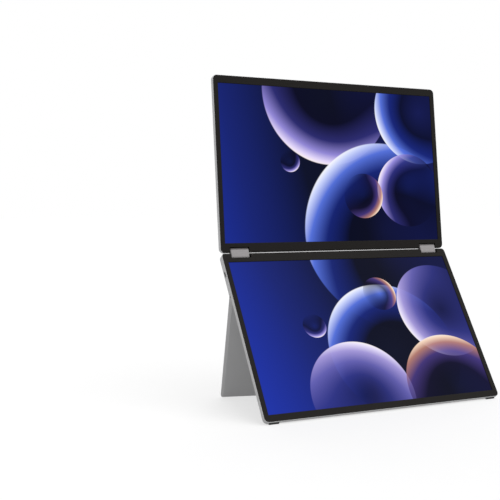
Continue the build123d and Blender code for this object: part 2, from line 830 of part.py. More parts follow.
with BuildPart() as indicator_light_pipes:
    with BuildSketch(side_plane(LOWER, half_width)):
        with Locations(*[(height, -control_depth) for height in light_heights]):
            Circle(light_radius)
    extrude(amount=-light_length)
keep(indicator_light_pipes, "indicator_light_pipes")

keys = (
    ("power_button", power_height, power_length, power_flange_gap, 0),
    ("menu_rocker", rocker_height, rocker_length, rocker_flange_gap, rocker_rib_radius),
)
for key_name, key_height, key_length, flange_gap, rib_radius in keys:
    with BuildPart() as key:
        with BuildSketch(side_plane(LOWER, half_width + key_proud)):
            with Locations((key_height, -control_depth)):
                SlotOverall(key_length, key_width)
        extrude(amount=-(key_proud + rim + flange_gap))
        chamfer(key.faces().sort_by(Axis.X)[-1].edges(), key_bevel)
        with BuildSketch(side_plane(LOWER, half_width - rim - flange_gap)):
            with Locations((key_height, -control_depth)):
                SlotOverall(key_length + 2 * key_flange_overlap, key_width + 2 * key_flange_overlap)
        extrude(amount=-key_flange_thickness)
        if rib_radius:
            # Round rib that the rocker tilts on, against its switch
            with BuildSketch(at_depth(LOWER, control_depth - key_width / 2)):
                with Locations((half_width - rim - flange_gap - key_flange_thickness / 2, key_height)):
                    Circle(rib_radius)
            extrude(amount=-key_width)
    keep(key, key_name)

with BuildPart() as side_switches:
    for key_height, flange_gap, travel in (
        (power_height, power_flange_gap, power_travel),
        (rocker_height, rocker_flange_gap, 0),
    ):
        switch_face = half_width - rim - flange_gap - key_flange_thickness - travel - switch_gap
        switch_front = layers + switch_gap
        with BuildSketch(side_plane(LOWER, switch_face)):
            with Locations((key_height, -(switch_front + board_front) / 2)):
                Rectangle(switch_width, board_front - switch_front)
        extrude(amount=-switch_length)
keep(side_switches, "side_switches")

# Security lock plate behind its slot

with BuildPart() as lock_slot_plate:
    with BuildSketch(side_plane(LOWER, rim - half_width)):
        with Locations((lock_height, -lock_depth)):
            Rectangle(lock_plate_length, lock_plate_width)
            RectangleRounded(
                lock_slot_length, lock_slot_width, lock_slot_width / 4, mode=Mode.SUBTRACT
            )
    extrude(amount=lock_plate_thickness)
keep(lock_slot_plate, "lock_slot_plate")

# Tripod insert

with BuildPart() as tripod_insert:
    with BuildSketch(at_depth(LOWER, lower_thickness - tripod_insert_inset)):
        with Locations((0, tripod_height)):
            Circle(tripod_insert_radius)
            Circle(tripod_bore_radius, mode=Mode.SUBTRACT)
    extrude(amount=tripod_insert_length)
keep(tripod_insert, "tripod_insert")

# Hinge: on each side two shafts with pinions, two idlers between them, in one knuckle

gear_spots = [(2 * gear_radius * step, 0) for step in range(4)]
shaft_spots = (gear_spots[0], gear_spots[3])
idler_spots = gear_spots[1:3]
gear_inner = plate_start + gear_side_gap


def gear_outline(step):
    """Tooth outline at a place in the train; neighbours stand half a tooth apart."""
    pitch = pi * gear_module
    root = gear_radius - tooth_dedendum * gear_module
    tip = gear_radius + tooth_addendum * gear_module
    flank = ((root, tooth_root_share), (gear_radius, tooth_pitch_share), (tip, tooth_tip_share))
    points = []
    for tooth in range(gear_teeth):
        middle = 2 * pi * (tooth + step % 2 / 2) / gear_teeth
        for way, stations in ((-1, flank), (1, reversed(flank))):
            for radius, share in stations:
                turn = middle + way * share * pitch / radius / 2
                points.append((radius * cos(turn), radius * sin(turn)))
    with Locations(gear_spots[step]):
        Polygon(*points, align=None)


brackets = (
    ("lower", LOWER, lower_axis_height, lower_axis_depth, lower_floor_depth, -1, lower_screw_places),
    ("upper", UPPER, upper_axis_height, upper_axis_depth, upper_floor_depth, 1, upper_screw_places),
)
for side_name, side in (("left", -1), ("right", 1)):
    with BuildPart() as knuckle:
        with BuildSketch(side_plane(LINK, side * knuckle_inner)):
            with Locations((axis_spacing / 2, 0)):
                SlotCenterToCenter(axis_spacing, 2 * knuckle_radius)
        extrude(amount=side * knuckle_width)
        chamfer(knuckle.faces().filter_by(Axis.X).edges(), knuckle_bevel)
        with BuildSketch(side_plane(LINK, side * knuckle_inner)):
            with Locations((axis_spacing / 2, 0)):
                SlotCenterToCenter(axis_spacing, 2 * knuckle_bore_radius)
        extrude(amount=side * (gear_start - knuckle_inner), mode=Mode.SUBTRACT)
        with BuildSketch(side_plane(LINK, side * knuckle_outer)):
            with Locations((axis_spacing / 2, 0)):
                SlotCenterToCenter(axis_spacing, 2 * cable_pocket_radius)
        extrude(amount=-side * cable_pocket_depth, mode=Mode.SUBTRACT)
        with BuildSketch(side_plane(LINK, side * gear_start)):
            with Locations(*shaft_spots):
                Circle(spigot_radius + running_gap)
            with Locations(*idler_spots):
                Circle(idler_pin_radius + running_gap)
        extrude(amount=side * (spigot_length + gear_side_gap), mode=Mode.SUBTRACT)
    keep(knuckle, f"{side_name}_knuckle")

    with BuildPart() as knuckle_cap:
        with BuildSketch(side_plane(LINK, side * knuckle_inner)):
            with Locations((axis_spacing / 2, 0)):
                SlotCenterToCenter(axis_spacing, 2 * (knuckle_bore_radius - seat_gap))
            with Locations(*shaft_spots):
                Circle(shaft_radius + running_gap, mode=Mode.SUBTRACT)
        extrude(amount=side * cap_thickness)
    keep(knuckle_cap, f"{side_name}_knuckle_cap")

    with BuildPart() as gear_plate:
        with BuildSketch(side_plane(LINK, side * sleeve_start)):
            with Locations((axis_spacing / 2, 0)):
                SlotCenterToCenter(axis_spacing, 2 * (knuckle_bore_radius - seat_gap))
            with Locations(*shaft_spots):
                Circle(shaft_radius + running_gap, mode=Mode.SUBTRACT)
            with Locations(*idler_spots):
                Circle(idler_pin_radius + running_gap, mode=Mode.SUBTRACT)
        extrude(amount=side * gear_plate_thickness)
    keep(gear_plate, f"{side_name}_gear_plate")

    with BuildPart() as friction_sleeves:
        with BuildSketch(side_plane(LINK, side * (cap_start + running_gap))):
            with Locations(*shaft_spots):
                Circle(knuckle_bore_radius - seat_gap)
                Circle(shaft_radius + running_gap, mode=Mode.SUBTRACT)
        extrude(amount=side * (sleeve_start - cap_start - 2 * running_gap))
    keep(friction_sleeves, f"{side_name}_friction_sleeves")

    for idler_name, step in (("lower", 1), ("upper", 2)):
        with BuildPart() as idler:
            with BuildSketch(side_plane(LINK, side * gear_inner)):
                gear_outline(step)
            extrude(amount=side * gear_width)
            with BuildSketch(side_plane(LINK, side * (gear_inner - idler_pin_length))):
                with Locations(gear_spots[step]):
                    Circle(idler_pin_radius)
            extrude(amount=side * (gear_width + 2 * idler_pin_length))
        keep(idler, f"{side_name}_{idler_name}_idler")

    for shaft_name, step in (("lower", 0), ("upper", 3)):
        with BuildPart() as shaft:
            with BuildSketch(side_plane(LINK, side * bracket_end)):
                with Locations(gear_spots[step]):
                    Circle(shaft_radius)
            extrude(amount=side * (gear_inner - bracket_end))
            with BuildSketch(side_plane(LINK, side * gear_inner)):
                gear_outline(step)
            extrude(amount=side * gear_width)
            with BuildSketch(side_plane(LINK, side * (gear_inner + gear_width))):
                with Locations(gear_spots[step]):
                    Circle(spigot_radius)
            extrude(amount=side * (gear_side_gap + spigot_length))
        keep(shaft, f"{side_name}_{shaft_name}_shaft")

    for screen, base, axis_height, axis_depth, floor_depth, inward, screw_places in brackets:
        web_middle = axis_height + inward * (bracket_web_start + bracket_web / 2)
        plate_length = bracket_reach - bracket_web_start
        plate_middle = axis_height + inward * (bracket_web_start + plate_length / 2)
        with BuildPart() as bracket:
            with BuildSketch(side_plane(base, side * bracket_end)):
                with Locations((axis_height, -axis_depth)):
                    Circle(bracket_barrel_radius)
                with Locations((web_middle, -(axis_depth + floor_depth) / 2)):
                    Rectangle(bracket_web, floor_depth - axis_depth)
                with Locations((plate_middle, bracket_plate_thickness / 2 - floor_depth)):
                    Rectangle(plate_length, bracket_plate_thickness)
                with Locations((axis_height, -axis_depth)):
                    Circle(shaft_radius + seat_gap, mode=Mode.SUBTRACT)
            extrude(amount=side * bracket_length)
            with BuildSketch(at_depth(base, floor_depth)):
                with Locations(*screw_places):
                    Circle(screw_radius + screw_hole_gap)
            extrude(amount=bracket_plate_thickness, mode=Mode.SUBTRACT)
        keep(bracket, f"{side_name}_{screen}_bracket")

# Cable between the screens, turning on both hinge axes in the right knuckle

cable_sides = (
    ("lower", at_depth(LOWER, lower_axis_depth), lower_axis_height, lower_cable_height),
    ("upper", at_depth(UPPER, upper_axis_depth), upper_axis_height, upper_cable_height),
)
for screen, cable_plane, axis_height, cable_height in cable_sides:
    with BuildPart() as screen_cable:
        with BuildLine(cable_plane) as cable_path:
            FilletPolyline(
                (knuckle_outer + cable_end_gap, axis_height),
                (cable_corner, axis_height),
                (cable_corner, cable_height),
                (socket_side, cable_height),
                radius=cable_turn,
            )
        with BuildSketch(Plane(origin=cable_path.line @ 0, z_dir=cable_path.line % 0)):
            Circle(cable_radius)
        sweep()
    keep(screen_cable, f"{screen}_screen_cable")

with BuildPart() as link_cable:
    turn_side = knuckle_outer - cable_pocket_depth + cable_radius + cable_pocket_gap
    with BuildLine(LINK) as cable_path:
        FilletPolyline(
            (knuckle_outer - cable_end_gap, 0),
            (turn_side, 0),
            (turn_side, axis_spacing),
            (knuckle_outer - cable_end_gap, axis_spacing),
            radius=cable_bend,
        )
    with BuildSketch(Plane(origin=cable_path.line @ 0, z_dir=cable_path.line % 0)):
        Circle(cable_radius)
    sweep()
keep(link_cable, "link_screen_cable")

# Fold-out flap, drawn open

flap_rise = stand_radius / slant_cos
flap_corners = (
    flap_point(-half_width, hinge_line(-half_width) + flap_rise),
    flap_point(stand_short_side, hinge_line(stand_short_side) + flap_rise),
    flap_point(stand_short_side, stand_bottom),
    flap_point(-half_width, stand_bottom),
)
flap_right = STAND.x_dir * slant_cos + STAND.y_dir * slant_sin
flap_up = STAND.y_dir * slant_cos - STAND.x_dir * slant_sin
foot_start = STAND.from_local_coords(Vector(*flap_point(-panel_width, foot_line), 0))
tall_start = STAND.from_local_coords(Vector(*flap_point(-half_width, panel_height), 0))


def stand_section(base, along):
    """Plane square to the stand's hinge axis: x up the flap, y towards the screen."""
    return Plane(base.from_local_coords(Vector(along, 0, 0)), x_dir=base.y_dir, z_dir=base.x_dir)


with BuildPart() as stand_flap:
    with BuildSketch(STAND.offset(-stand_radius)):
        with BuildLine():
            corner_rounds = (0, stand_corner_radius, stand_foot_corner, stand_foot_corner)
            FilletPolyline(*flap_corners, radius=corner_rounds, close=True)
        make_face()
    extrude(amount=stand_thickness)
    # Hinge edge rounded about its axis
    with BuildSketch(stand_section(STAND, -panel_height)):
        Circle(stand_radius)
        Rectangle(panel_width, stand_thickness, align=(Align.MAX, Align.CENTER))
    extrude(amount=2 * panel_width, mode=Mode.INTERSECT)
    # Foot edge rounded so that it rolls on the floor as the stand opens
    with BuildSketch(Plane(foot_start, x_dir=flap_up, z_dir=flap_right)):
        with BuildLine():
            FilletPolyline(
                (-stand_foot_round, -stand_radius),
                (-stand_foot_round, stand_radius),
                (panel_height, stand_radius),
                (panel_height, -stand_radius),
                radius=(stand_foot_round, stand_foot_round, 0, 0),
                close=True,
            )
        make_face()
    extrude(amount=2 * panel_width, mode=Mode.INTERSECT)
    # Wide bevel on the inner side of the tall edge
    with BuildSketch(Plane(tall_start, x_dir=flap_right, z_dir=-flap_up)):
        Polygon(
            (0, stand_radius),
            (0, stand_radius - stand_side_bevel_depth),
            (stand_side_bevel, stand_radius),
            align=None,
        )
    extrude(amount=2 * panel_height, mode=Mode.SUBTRACT)
    # Notches round the lugs
    with BuildSketch(STAND.offset(-stand_thickness)):
        with Locations(*[(middle, 0) for middle in lug_middles]):
            Rectangle(lug_length + 2 * lug_side_gap, 2 * (stand_radius + stand_gap))
    extrude(amount=2 * stand_thickness, mode=Mode.SUBTRACT)
    # Bores for the hinge pins, from both ends
    with BuildSketch(stand_section(STAND, -stand_thickness)):
        Circle(stand_pin_radius + running_gap)
    extrude(amount=stand_thickness + lug_middles[0] + lug_length / 2 + stand_pin_grip, mode=Mode.SUBTRACT)
    with BuildSketch(stand_section(STAND, -stand_thickness)):
        Circle(plug_head_radius + seat_gap)
    extrude(amount=stand_thickness + plug_inset + plug_head_thickness, mode=Mode.SUBTRACT)
    with BuildSketch(stand_section(STAND, lug_middles[1] - lug_length / 2 - stand_pin_grip)):
        Circle(stand_pin_radius + running_gap)
    extrude(amount=panel_width, mode=Mode.SUBTRACT)
keep(stand_flap, "stand_flap")

with BuildPart() as stand_hinge_pins:
    pin_length = lug_middles[0] + lug_length / 2 + stand_pin_grip - stand_pin_inset - stand_gap
    with BuildSketch(stand_section(STAND_SHUT, stand_pin_inset)):
        Circle(stand_pin_radius)
    extrude(amount=pin_length)
    with BuildSketch(stand_section(STAND_SHUT, stand_axis_length - stand_pin_inset)):
        Circle(stand_pin_radius)
    extrude(amount=-pin_length)
keep(stand_hinge_pins, "stand_hinge_pins")

# Plug that closes the pin's bore at the flap's tall side

with BuildPart() as stand_hinge_plug:
    with BuildSketch(stand_section(STAND, plug_inset)):
        Circle(plug_head_radius)
    extrude(amount=plug_head_thickness)
    with BuildSketch(stand_section(STAND, plug_inset + plug_head_thickness)):
        Circle(stand_pin_radius + running_gap - seat_gap)
    extrude(amount=plug_shank_length)
keep(stand_hinge_plug, "stand_hinge_plug")

# Recess liner, bumpers and feet

with BuildPart() as stand_recess_liner:
    with BuildSketch(at_depth(LOWER, liner_floor)):
        liner_rise = (stand_radius + stand_gap - liner_inset) / slant_cos
        liner_left = liner_inset - half_width
        liner_right = stand_short_side + stand_side_gap - liner_inset
        with BuildLine():
            FilletPolyline(
                (liner_left, hinge_line(liner_left) + liner_rise),
                (liner_right, hinge_line(liner_right) + liner_rise),
                (liner_right, liner_inset),
                (liner_left, liner_inset),
                radius=(0, recess_corner_radius, 0, corner_radius - liner_inset),
                close=True,
            )
        make_face()
    extrude(amount=-liner_thickness)
keep(stand_recess_liner, "stand_recess_liner")

with BuildPart() as stand_bumpers:
    with BuildSketch(at_depth(LOWER, recess_floor)):
        with Locations(
            (bumper_from_edges - half_width, bumper_from_edges),
            (stand_short_side - bumper_from_edges, bumper_from_edges),
        ):
            Circle(bumper_radius)
    extrude(amount=-bumper_height)
keep(stand_bumpers, "stand_bumpers")

with BuildPart() as rubber_feet:
    for foot_side in (foot_from_side - half_width, half_width - foot_from_side - foot_length):
        with BuildSketch(side_plane(LOWER, foot_side)):
            Polygon(
                (0, -foot_front),
                (foot_bevel - foot_height, -foot_front),
                (-foot_height, -foot_front - foot_bevel),
                (-foot_height, -foot_back),
                (0, -foot_back),
                align=None,
            )
        extrude(amount=foot_length)
keep(rubber_feet, "rubber_feet")
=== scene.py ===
"""Looks of the dual-screen portable monitor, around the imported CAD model. Metres, same frame."""

import json
from math import cos, radians, sin

import bmesh
import bpy
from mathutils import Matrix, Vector


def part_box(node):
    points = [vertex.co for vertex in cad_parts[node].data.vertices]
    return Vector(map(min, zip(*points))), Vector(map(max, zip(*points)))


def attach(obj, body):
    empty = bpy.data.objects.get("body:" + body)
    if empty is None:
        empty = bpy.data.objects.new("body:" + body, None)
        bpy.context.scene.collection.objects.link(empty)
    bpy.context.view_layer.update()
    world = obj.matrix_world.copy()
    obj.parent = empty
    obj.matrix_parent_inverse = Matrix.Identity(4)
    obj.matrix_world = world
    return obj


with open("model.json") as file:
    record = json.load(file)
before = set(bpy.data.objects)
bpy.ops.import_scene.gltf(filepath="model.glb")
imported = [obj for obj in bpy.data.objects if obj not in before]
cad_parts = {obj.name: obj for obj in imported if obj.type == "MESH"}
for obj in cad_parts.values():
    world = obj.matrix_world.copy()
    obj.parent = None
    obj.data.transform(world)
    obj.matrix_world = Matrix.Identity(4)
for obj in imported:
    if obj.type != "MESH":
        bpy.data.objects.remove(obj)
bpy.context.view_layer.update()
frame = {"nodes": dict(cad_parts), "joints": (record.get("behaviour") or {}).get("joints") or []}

MM = 0.001

# Camera, solved from the corners of both screens in the photograph
CAMERA_PLACE = (-0.6159, -1.02761, 0.23103)
CAMERA_TURN = (88.261, 0.0, -29.098)
CAMERA_LENS = 71.68
CAMERA_SENSOR = 36.0
CAMERA_SHIFT = (-0.1379, -0.0247)
CAMERA_NEAR = 10.0 * MM

# Studio: the world's fill, the white seen directly, the floor's lift towards it, and the lamps,
# each with its strength and its turn in degrees
FILL_LIGHT = 0.57
SEEN_WHITE = 1.0
FLOOR_LIFT = 0.66
FLOOR_SIZE = 40.0
FLOOR_DROP = 0.2 * MM
LAMP_SPREAD = 60.0
MAIN_LAMP = (1.2, (40.0, 0.0, 25.0))
BACK_LAMP = (1.0, (60.0, 0.0, 155.0))

# Lean of the screens and of the knuckles between them, in degrees back from upright
LOWER_LEAN = 33.2
UPPER_LEAN = 6.1
KNUCKLE_LEAN = 19.65

# Displays: lit area, the border hidden behind the bezel, and the glass
ACTIVE_WIDTH = 301.55 * MM
ACTIVE_HEIGHT = 188.47 * MM
DISPLAY_BORDER = 2.5 * MM
GLASS_ROUGHNESS = 0.12
GLASS_SPECULAR = 0.02

# Seals in the hinge notches, dark with the notches' painted shade, shaped round the ends of the
# knuckles; short towards the front, where the knuckle's flat side passes when the screens are shut
# face to face
SEAL_RADIUS = 3.0 * MM
SEAL_BACK = 3.48 * MM
SEAL_FRONT_ANGLE = 14.0
SEAL_REAR_ANGLE = 37.0
SEAL_STEPS = 16
SEAL_SIDE = 0.6 * MM

# Walls of a hinge notch, painted dark as painted shade: how far round the knuckle they lie, and
# how square to the back they stand
NOTCH_REACH = (1.0 * MM, 3.0 * MM, 1.2 * MM)
NOTCH_SQUARE = 0.5

# Least share of a face's direction that counts as looking that way, on a knuckle and on a display
LEAST_LOOK = 0.02
FRONT_LOOK = 0.9

# Every finish: size and share of its slow clouds, how fine clouds and grain break up, sway of the
# roughness, and height of the grain as a share of its width.
# The grain of each finish is drawn a few times coarser than life, so that it shows.
CLOUD_MM = 40.0
CLOUD_SHARE = 0.3
CLOUD_DETAIL = 2.0
GRAIN_DETAIL = 3.0
ROUGHNESS_SWAY = 0.12
GRAIN_HEIGHT = 0.3

# Pin hole above the tripod insert, painted dark as painted shade: its rise over the insert, and
# the reach of its faces
PIN_HOLE_RISE = 7.0 * MM
PIN_HOLE_RADIUS = 1.25 * MM

# Order of the added finishes on a knuckle, on a back cover and on a display
KNUCKLE_SHADE_FINISH = 1
KNUCKLE_LIGHT_FINISH = 2
NOTCH_SHADE_FINISH = 1
TAPE_FINISH = 1

# Stops that a new colour ramp has
RAMP_STOPS = 2


def linear(hex_colour, alpha=1.0):
    """sRGB hex to linear RGBA."""
    channels = [int(hex_colour[place:place + 2], 16) / 255 for place in (1, 3, 5)]
    return tuple(
        c / 12.92 if c <= 0.04045 else ((c + 0.055) / 1.055) ** 2.4 for c in channels
    ) + (alpha,)


def add(tree, kind, inputs=None, stops=(), **settings):
    """Adds a node with its settings; an input is a number, a colour or another node's socket.

    Each stop of a colour ramp is a place, an sRGB hex and an alpha.
    """
    node = tree.nodes.new(kind)
    for name, value in settings.items():
        setattr(node, name, value)
    for socket, value in (inputs or {}).items():
        if isinstance(value, bpy.types.NodeSocket):
            tree.links.new(value, node.inputs[socket])
        else:
            node.inputs[socket].default_value = value
    for _ in stops[RAMP_STOPS:]:
        node.color_ramp.elements.new(0.5)
    for count, (place, colour, alpha) in enumerate(stops):
        node.color_ramp.elements[count].position = place
        node.color_ramp.elements[count].color = linear(colour, alpha)
    return node


def new_finish(name, roughness, metallic=0.0, ior=1.5, specular=0.5):
    """Empty finish: its node tree, its shader and the place on the piece in metres."""
    finish = bpy.data.materials.new(name)
    finish.use_nodes = True
    tree = finish.node_tree
    shader = tree.nodes["Principled BSDF"]
    shader.inputs["Roughness"].default_value = roughness
    shader.inputs["Metallic"].default_value = metallic
    shader.inputs["IOR"].default_value = ior
    shader.inputs["Specular IOR Level"].default_value = specular
    place = add(tree, "ShaderNodeTexCoord").outputs["Object"]
    return finish, tree, shader, place


def grained_finish(name, dark, light, roughness, grain_mm, bump, **shader_values):
    """Finish with a fine grain and a slow drift of colour, both sized in millimetres."""
    finish, tree, shader, place = new_finish(name, roughness, **shader_values)
    grain = add(tree, "ShaderNodeTexNoise", {
        "Vector": place, "Scale": 1 / (grain_mm * MM), "Detail": GRAIN_DETAIL,
    })
    drift = add(tree, "ShaderNodeTexNoise", {
        "Vector": place, "Scale": 1 / (CLOUD_MM * MM), "Detail": CLOUD_DETAIL,
    })
    share = add(tree, "ShaderNodeMix", {
        "Factor": CLOUD_SHARE, "A": grain.outputs["Fac"], "B": drift.outputs["Fac"],
    }, data_type="FLOAT")
    colour = add(tree, "ShaderNodeMix", {
        "Factor": share.outputs[0], "A": linear(dark), "B": linear(light),
    }, data_type="RGBA")
    tree.links.new(colour.outputs["Result"], shader.inputs["Base Color"])
    rough = add(tree, "ShaderNodeMapRange", {
        "Value": grain.outputs["Fac"],
        "To Min": roughness * (1 - ROUGHNESS_SWAY), "To Max": roughness * (1 + ROUGHNESS_SWAY),
    })
    tree.links.new(rough.outputs["Result"], shader.inputs["Roughness"])
    relief = add(tree, "ShaderNodeBump", {
        "Height": grain.outputs["Fac"], "Strength": bump, "Distance": grain_mm * MM * GRAIN_HEIGHT,
    })
    tree.links.new(relief.outputs["Normal"], shader.inputs["Normal"])
    return finish


# Bead-blasted and anodised aluminium: satin silver with a fine even grain
anodised_aluminium = grained_finish(
    "anodised_aluminium_blasted", "#b9b9ba", "#c8c8c9",
    roughness=0.45, grain_mm=0.5, bump=0.10, metallic=0.35,
)
# The same metal on the power key, a little darker
key_aluminium = grained_finish(
    "key_aluminium_anodised", "#a3a3a4", "#b0b0b1",
    roughness=0.42, grain_mm=0.4, bump=0.08, metallic=0.35,
)
# Moulded bezel plastic: warm near-black with a soft spark-eroded grain and little shine
bezel_plastic = grained_finish(
    "bezel_abs_moulded", "#1f1d1c", "#2b2927",
    roughness=0.6, grain_mm=0.6, bump=0.15, specular=0.06,
)
# Painted zinc casting of the knuckles: warm mid grey, satin
knuckle_paint = grained_finish(
    "knuckle_zinc_painted", "#9d999a", "#a8a4a5",
    roughness=0.45, grain_mm=0.5, bump=0.06, specular=0.3,
)
# Painted shade: the round upper end of the same casting, a darker grey where it turns into its
# notch
knuckle_painted_shade = grained_finish(
    "knuckle_zinc_painted_shade", "#5b5758", "#676364",
    roughness=0.5, grain_mm=0.5, bump=0.08, specular=0.2,
)
# Painted light on the rear of the same casting: a lighter, neutral satin silver for the weaker
# light from behind, a shade darker than the covers
knuckle_painted_light = grained_finish(
    "knuckle_zinc_painted_light", "#acabac", "#b7b6b7",
    roughness=0.42, grain_mm=0.5, bump=0.06, metallic=0.35,
)
# Painted shade in the stand's recess: dark grey film standing in for the shade under the open
# stand, no shine at all
recess_painted_shade = grained_finish(
    "recess_film_painted_shade", "#232323", "#303030",
    roughness=0.95, grain_mm=0.4, bump=0.4, specular=0.05,
)
# Painted shade on the walls of the hinge notches, on their seals and in the pin hole: dull and
# very dark
notch_painted_shade = grained_finish(
    "notch_walls_painted_shade", "#0b0b0c", "#161617",
    roughness=0.95, grain_mm=0.4, bump=0.4, specular=0.05,
)
# Soft black rubber of the feet and bumpers, dull with a coarse grain
foot_rubber = grained_finish(
    "foot_rubber_moulded", "#161616", "#222222",
    roughness=0.75, grain_mm=0.5, bump=0.25, specular=0.25,
)
# Black moulded caps, plug and rocker, a little shinier than the bezel
cap_plastic = grained_finish(
    "cap_abs_moulded", "#1a1a1b", "#242425",
    roughness=0.5, grain_mm=0.4, bump=0.1, specular=0.3,
)
# Extruded cable sleeve: smooth black with some shine
cable_sleeve = grained_finish(
    "cable_pvc_extruded", "#121213", "#1d1d1e",
    roughness=0.5, grain_mm=0.5, bump=0.1,
)
# Nickel plating on sheet steel: bright with a warm tinge
plated_steel = grained_finish(
    "steel_nickel_plated", "#a3a29f", "#b7b6b2",
    roughness=0.28, grain_mm=0.6, bump=0.04, metallic=1.0,
)
# Ground steel of shafts and gears: grey with a fine grain
ground_steel = grained_finish(
    "steel_ground", "#8d8d8f", "#a5a5a7",
    roughness=0.32, grain_mm=0.3, bump=0.08, metallic=1.0,
)
# Greased bronze of the friction sleeves: brownish gold with a wet sheen
friction_bronze = grained_finish(
    "bronze_turned_greased", "#8a6a3c", "#a07c48",
    roughness=0.35, grain_mm=0.4, bump=0.06, metallic=1.0,
)
# Turned brass of the tripod insert, blackened: dark with a dull sheen
insert_brass = grained_finish(
    "brass_turned_blackened", "#2b2a29", "#3a3937",
    roughness=0.45, grain_mm=0.4, bump=0.06, metallic=0.5,
)
# Rolled sheet behind the displays: plain bright aluminium
sheet_aluminium = grained_finish(
    "aluminium_rolled", "#a8a8aa", "#b9b9bb",
    roughness=0.35, grain_mm=0.8, bump=0.05, metallic=1.0,
)
# Green solder mask on the boards: half glossy and a little uneven
circuit_board = grained_finish(
    "board_epoxy_masked", "#0f4a2a", "#155c36",
    roughness=0.42, grain_mm=1.2, bump=0.1,
)
# Black epoxy of chips, switches and port tongues: satin
chip_plastic = grained_finish(
    "chip_epoxy_moulded", "#18181a", "#242427",
    roughness=0.5, grain_mm=0.3, bump=0.1,
)
# Cream nylon of the board sockets: satin
socket_plastic = grained_finish(
    "socket_nylon_moulded", "#cfc8b4", "#ded8c6",
    roughness=0.5, grain_mm=0.5, bump=0.08,
)
# Amber film of the display ribbons: smooth and glossy
ribbon_film = grained_finish(
    "ribbon_polyimide_rolled", "#8a4a14", "#a55d1f",
    roughness=0.3, grain_mm=1.0, bump=0.05,
)
# Clear acrylic of the light pipes: pale and glossy
light_pipe = grained_finish(
    "light_pipe_acrylic_moulded", "#d9dde2", "#eef1f4",
    roughness=0.12, grain_mm=0.5, bump=0.02, ior=1.49,
)
# Black tape round the back and the edges of the displays: dull, and lets no light out
display_tape = grained_finish(
    "display_polyester_taped", "#101011", "#1a1a1b",
    roughness=0.6, grain_mm=0.5, bump=0.1, specular=0.2,
)

# Picture on the displays: soft discs, each lit from one side of its rim.
# A palette runs from the shaded side to the lit rim: place, colour and cover.
ICE = (
    (0.0, "#04061a", 0.0), (0.28, "#050820", 0.8), (0.52, "#182a86", 0.65),
    (0.74, "#5a77e4", 0.88), (0.90, "#cad4fc", 1.0), (1.0, "#ffffff", 1.0),
)
LILAC = (
    (0.0, "#05061c", 0.0), (0.30, "#080822", 0.75), (0.54, "#33327e", 0.7),
    (0.76, "#9a8fe0", 0.9), (0.91, "#e2d6fa", 1.0), (1.0, "#fff4f0", 1.0),
)
EMBER = (
    (0.0, "#05051a", 0.0), (0.32, "#100d2c", 0.8), (0.56, "#4c3c86", 0.75),
    (0.78, "#b98074", 0.9), (0.92, "#f3d3bb", 1.0), (1.0, "#fff3e6", 1.0),
)
HAZE = (
    (0.0, "#1a1d58", 0.3), (0.26, "#34388a", 0.7), (0.50, "#6a66b8", 0.85),
    (0.74, "#a79bdc", 0.95), (0.91, "#e4dcfa", 1.0), (1.0, "#fffaf6", 1.0),
)
# Centre across and up both screens, radius, all in display heights; lit side in degrees; palette
DISCS = (
    (0.78, 1.98, 0.48, 248.0, LILAC),
    (1.16, 1.06, 0.60, 132.0, ICE),
    (1.50, 1.88, 0.36, 205.0, ICE),
    (1.38, 1.34, 0.25, 158.0, LILAC),
    (1.02, 1.30, 0.15, 330.0, EMBER),
    (0.48, 1.52, 0.07, 300.0, LILAC),
    (0.98, 0.34, 0.47, 118.0, ICE),
    (1.44, 0.60, 0.34, 200.0, HAZE),
    (0.66, 0.06, 0.36, 74.0, HAZE),
    (1.34, 0.06, 0.36, 96.0, EMBER),
    (1.00, 0.74, 0.12, 20.0, EMBER),
    (0.46, 0.54, 0.08, 285.0, LILAC),
)
# Ground behind the discs, from the lower left to the upper right
NIGHT = (
    (0.0, "#1d33a8", 1.0), (0.28, "#172472", 1.0), (0.55, "#0b1029", 1.0),
    (0.75, "#0a0d22", 1.0), (1.0, "#141a52", 1.0),
)
NIGHT_TURN = -14.0
NIGHT_SCALE = 0.6
# Where a disc starts to fade at its rim, as a share of its radius
DISC_RIM = 0.985


def lay_disc(tree, picture, spot, disc):
    """Lays one disc over the picture so far."""
    across, up, radius, lit_side, palette = disc
    own = add(tree, "ShaderNodeMapping", {
        "Vector": spot, "Location": (across, up, 0.0), "Rotation": (0.0, 0.0, radians(lit_side)),
        "Scale": (radius, radius, 1.0),
    }, vector_type="TEXTURE").outputs[0]
    reach = add(tree, "ShaderNodeVectorMath", {0: own}, operation="LENGTH").outputs["Value"]
    side = add(tree, "ShaderNodeSeparateXYZ", {0: own}).outputs["X"]
    lit = add(tree, "ShaderNodeMapRange", {
        "Value": side, "From Min": -1.0, "From Max": 1.0,
    }).outputs[0]
    glow = add(tree, "ShaderNodeMath", {0: lit, 1: reach}, operation="MULTIPLY").outputs[0]
    shade = add(tree, "ShaderNodeValToRGB", {"Fac": glow}, palette)
    inside = add(tree, "ShaderNodeMapRange", {
        "Value": reach, "From Min": 1.0, "From Max": DISC_RIM,
    }, interpolation_type="SMOOTHSTEP").outputs[0]
    share = add(tree, "ShaderNodeMath", {
        0: shade.outputs["Alpha"], 1: inside,
    }, operation="MULTIPLY").outputs[0]
    return add(tree, "ShaderNodeMix", {
        "Factor": share, "A": picture, "B": shade.outputs["Color"],
    }, data_type="RGBA").outputs["Result"]


